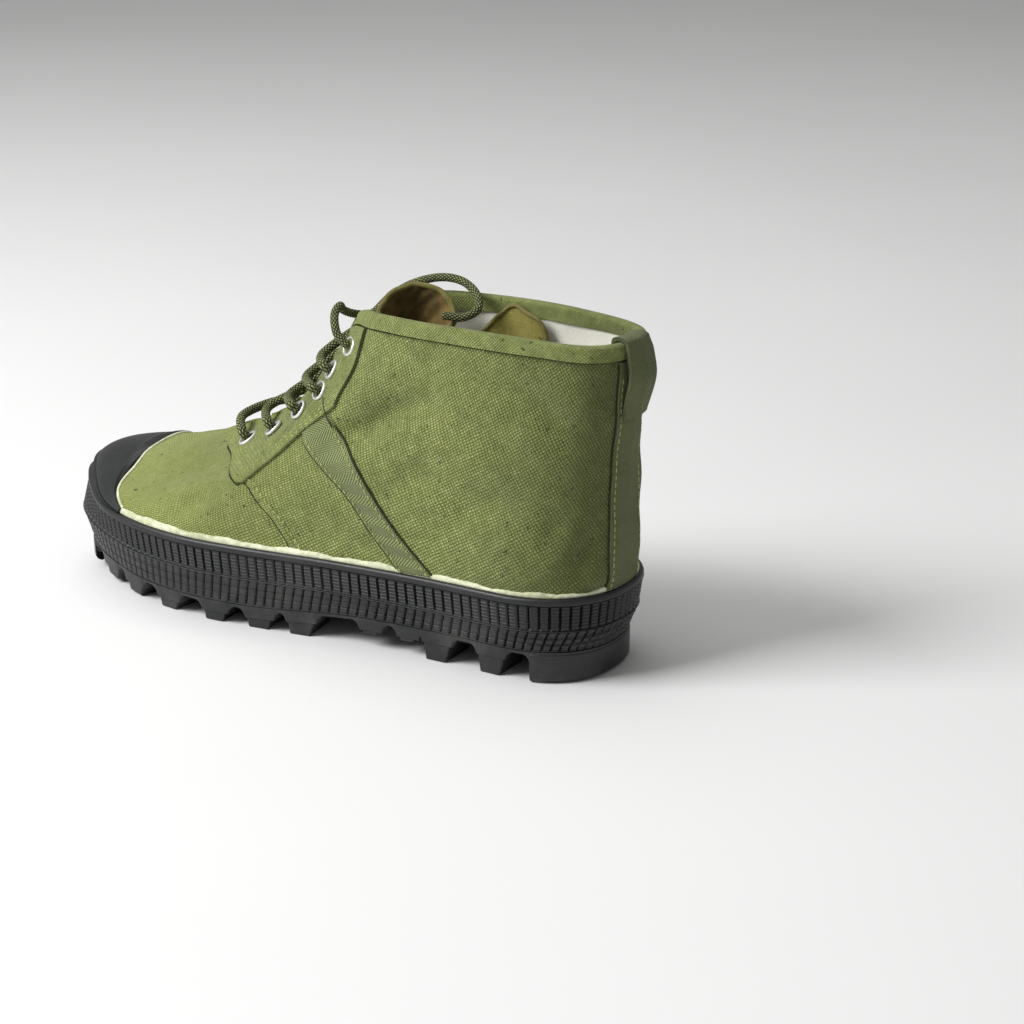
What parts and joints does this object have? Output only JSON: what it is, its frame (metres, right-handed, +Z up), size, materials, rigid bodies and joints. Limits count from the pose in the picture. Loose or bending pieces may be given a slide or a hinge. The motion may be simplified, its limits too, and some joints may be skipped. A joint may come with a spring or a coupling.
{
  "type": "jungle boot",
  "caption": "Low canvas lace-up jungle boot, left foot, with a rubber toe cap, ribbed foxing and a lugged black rubber outsole",
  "frame": {"origin": "on the floor, under the middle of the boot's box, which runs from the pull tab to the tip of the toe", "axes": "+X runs from heel to toe, +Y towards the outer side of the left foot, +Z up from the floor"},
  "size_m": [0.2897, 0.1007, 0.149],
  "materials": {
    "rubber": "matt black moulded rubber",
    "canvas": "coarse plain-weave olive canvas",
    "tape": "herringbone tape",
    "tongue": "yellow-olive canvas",
    "insole": "pale insole cloth",
    "eyelet": "bright rolled metal",
    "lace": "dark green braid with light specks"
  },
  "bodies": {
    "root": {"outsole": "rubber", "foxing": "rubber", "toe_cap": "rubber", "upper": "canvas", "insole": "insole", "tongue": "tongue", "eyestay_outer": "canvas", "eyestay_inner": "canvas", "side_tape_outer": "tape", "side_tape_inner": "tape", "collar_binding": "tape", "heel_stay": "tape", "pull_tab": "tape", "eyelet_outer_1": "eyelet", "eyelet_outer_2": "eyelet", "eyelet_outer_3": "eyelet", "eyelet_outer_4": "eyelet", "eyelet_outer_5": "eyelet", "eyelet_outer_6": "eyelet", "eyelet_inner_1": "eyelet", "eyelet_inner_2": "eyelet", "eyelet_inner_3": "eyelet", "eyelet_inner_4": "eyelet", "eyelet_inner_5": "eyelet", "eyelet_inner_6": "eyelet", "lace_cross_2": "lace", "lace_cross_3": "lace", "lace_cross_4": "lace", "lace_cross_5": "lace", "lace_cross_6": "lace", "lace_bar": "lace", "lace_end": "lace"}
  },
  "joints": []
}
